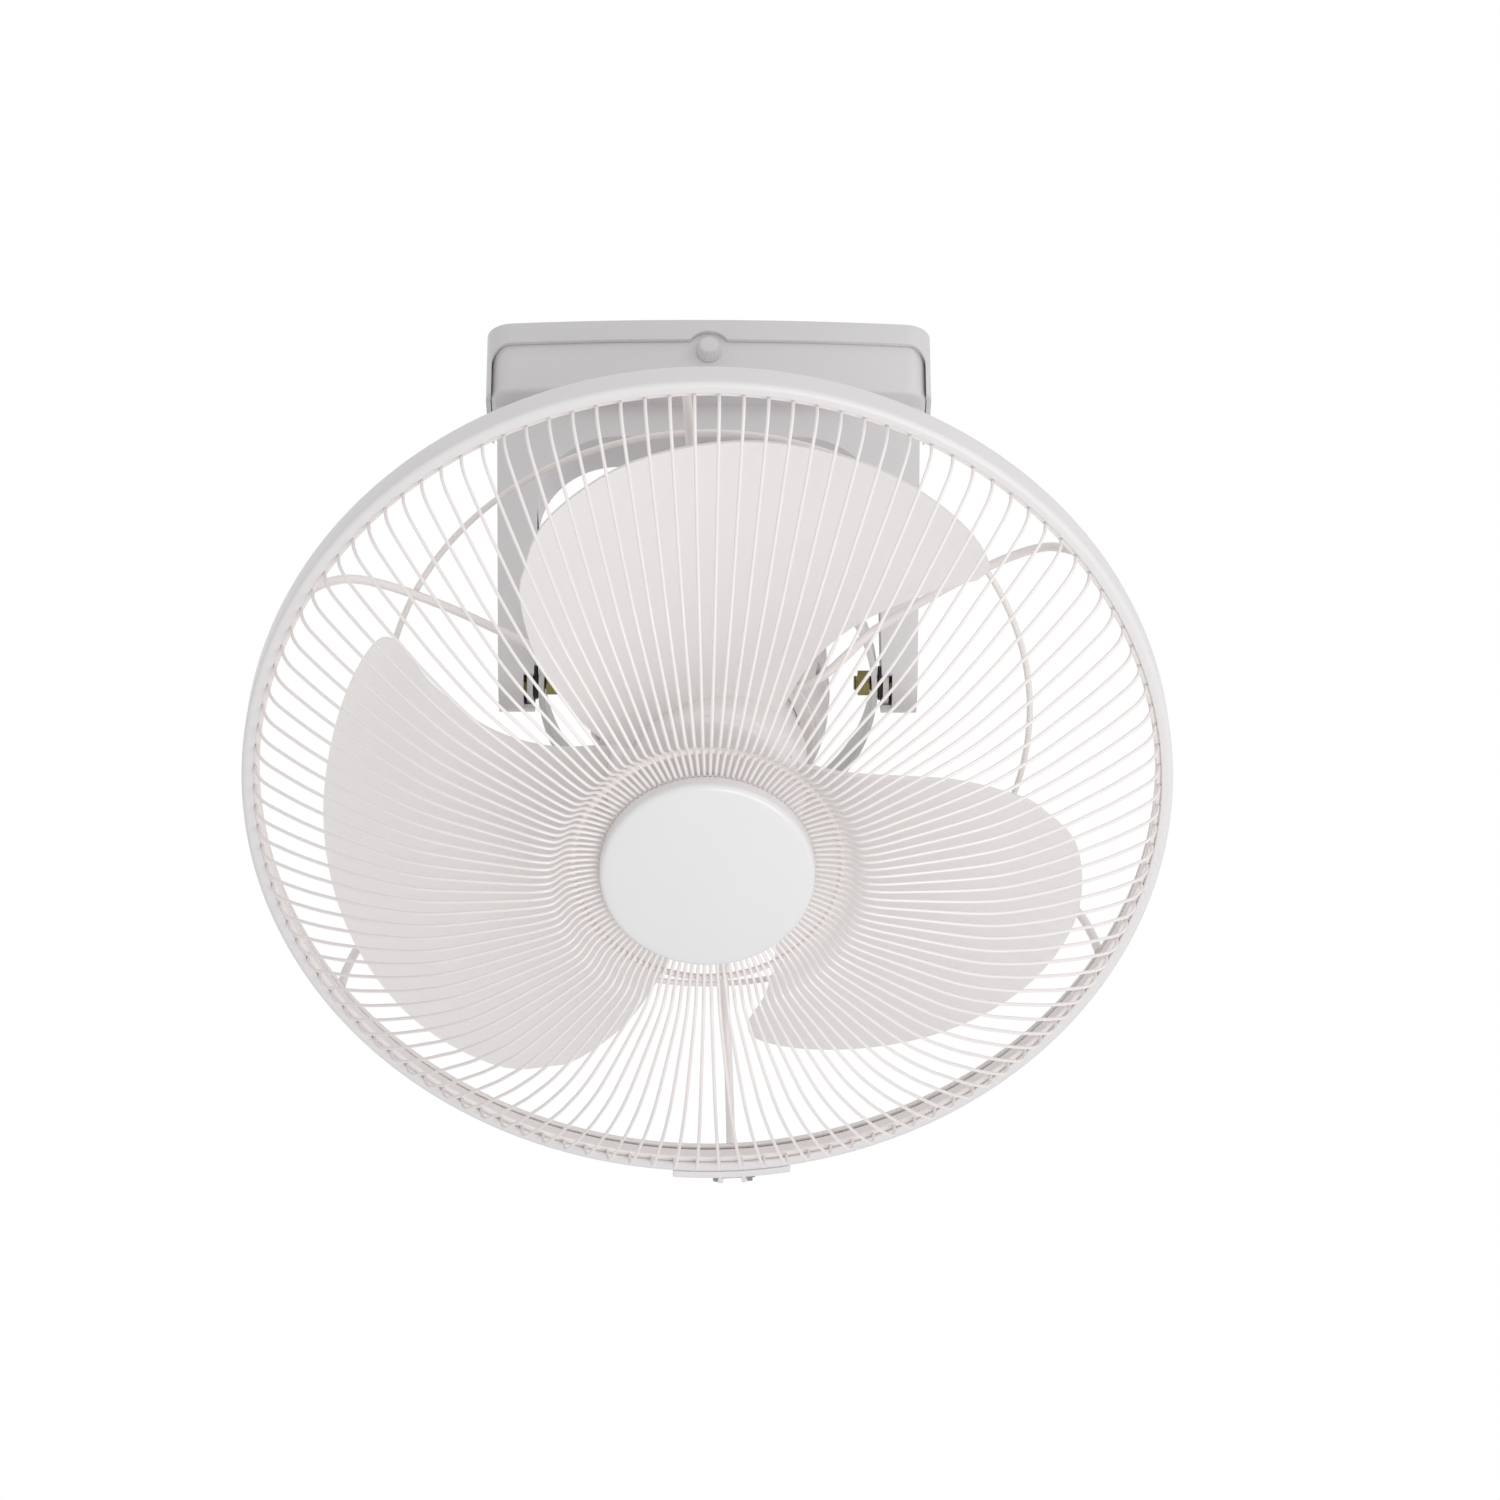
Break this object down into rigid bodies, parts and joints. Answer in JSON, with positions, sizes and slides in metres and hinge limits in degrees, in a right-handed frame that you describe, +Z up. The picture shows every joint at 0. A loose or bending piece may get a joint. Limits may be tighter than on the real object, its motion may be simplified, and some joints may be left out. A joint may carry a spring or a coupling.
{
  "type": "orbital ceiling fan",
  "caption": "Ceiling fan whose caged head orbits on a gimbal ring in a yoke under a ceiling pan, with blades, wire guards, motor, worm gears and an orbit crank.",
  "frame": {"origin": "centre of the ceiling pan's flat top face, on the ceiling", "axes": "+Z up into the ceiling, +X along the pan and the yoke's pivot bolts, -Y towards the side the tilted head faces"},
  "size_m": [0.472, 0.4255, 0.4355],
  "materials": {
    "painted_steel": "satin",
    "white_plastic": "satin",
    "cap_plastic": "gloss",
    "blade_plastic": "satin",
    "coated_wire": "gloss",
    "zinc_yellow": "satin",
    "bare_steel": "satin",
    "black_plastic": "matte",
    "cast_aluminium": "satin",
    "silicon_steel": "satin",
    "copper": "satin",
    "acetal": "satin"
  },
  "bodies": {
    "yoke": {"ceiling_pan": "painted_steel", "body_shell": "white_plastic", "steel_fork": "painted_steel", "pivot_bolt_left": "zinc_yellow", "pivot_bolt_right": "zinc_yellow", "pivot_washer_left": "black_plastic", "pivot_washer_right": "black_plastic", "pivot_nut_left": "zinc_yellow", "pivot_nut_right": "zinc_yellow", "fork_bolt_left": "bare_steel", "fork_bolt_right": "bare_steel", "terminal_block": "white_plastic", "capacitor": "black_plastic", "orbit_anchor": "bare_steel"},
    "thumb": {"thumb_screw": "white_plastic"},
    "ring": {"gimbal_ring": "painted_steel"},
    "head": {"ring_pin_upper": "zinc_yellow", "ring_pin_lower": "zinc_yellow", "ring_washer_upper": "black_plastic", "ring_washer_lower": "black_plastic", "motor_rear_cover": "cast_aluminium", "motor_front_cover": "cast_aluminium", "cover_screw_1": "bare_steel", "cover_screw_2": "bare_steel", "cover_screw_3": "bare_steel", "stator_core": "silicon_steel", "winding_rear": "copper", "winding_front": "copper", "bearing_rear": "bare_steel", "bearing_front": "bare_steel", "gear_case": "white_plastic", "gear_case_lid": "white_plastic", "guard_band": "painted_steel", "front_guard": "coated_wire", "support_ring": "coated_wire", "rear_guard_plate": "coated_wire", "rear_guard_rim": "coated_wire", "rear_spoke_1": "coated_wire", "rear_spoke_2": "coated_wire", "rear_spoke_3": "coated_wire", "rear_spoke_4": "coated_wire", "rear_spoke_5": "coated_wire", "rear_spoke_6": "coated_wire", "rear_guard_ring": "coated_wire", "front_cap": "cap_plastic", "band_clip": "painted_steel", "clip_screw": "bare_steel", "clip_nut": "bare_steel"},
    "rotor": {"rotor_core": "silicon_steel", "motor_shaft": "bare_steel", "blade_set": "blade_plastic", "blade_nut": "blade_plastic"},
    "cross": {"cross_shaft": "acetal"},
    "idler": {"idler_gear": "acetal"},
    "crank": {"orbit_crank": "bare_steel", "crank_ball": "bare_steel"}
  },
  "joints": [
    {"name": "thumb_turn", "type": "hinge", "parent": "yoke", "child": "thumb", "pos_m": [0, -0.0337, -0.019], "axis": [0, -1, 0], "range_deg": [0, 1440]},
    {"name": "ring_tilt", "type": "hinge", "parent": "yoke", "child": "ring", "pos_m": [0, 0, -0.2035], "axis": [1, 0, 0], "range_deg": [0, 60]},
    {"name": "head_swing", "type": "hinge", "parent": "ring", "child": "head", "pos_m": [0, 0, -0.2035], "axis": [0, -0.866, 0.5], "range_deg": [-30, 30]},
    {"name": "rotor_spin", "type": "hinge", "parent": "head", "child": "rotor", "pos_m": [0, 0, -0.2035], "axis": [0, -0.5, -0.866], "continuous": true},
    {"name": "cross_spin", "type": "hinge", "parent": "head", "child": "cross", "pos_m": [0, 0.01145, -0.15607], "axis": [1, 0, 0], "continuous": true},
    {"name": "idler_spin", "type": "hinge", "parent": "head", "child": "idler", "pos_m": [0.017, 0.02175, -0.16202], "axis": [0, -0.5, -0.866], "continuous": true},
    {"name": "crank_spin", "type": "hinge", "parent": "head", "child": "crank", "pos_m": [0, 0, -0.2035], "axis": [0, -0.5, -0.866], "continuous": true}
  ],
  "couplings": [
    {"joint": "cross_spin", "follows": "rotor_spin", "ratio": 0.1},
    {"joint": "idler_spin", "follows": "rotor_spin", "ratio": 0.01},
    {"joint": "crank_spin", "follows": "rotor_spin", "ratio": -0.005}
  ]
}
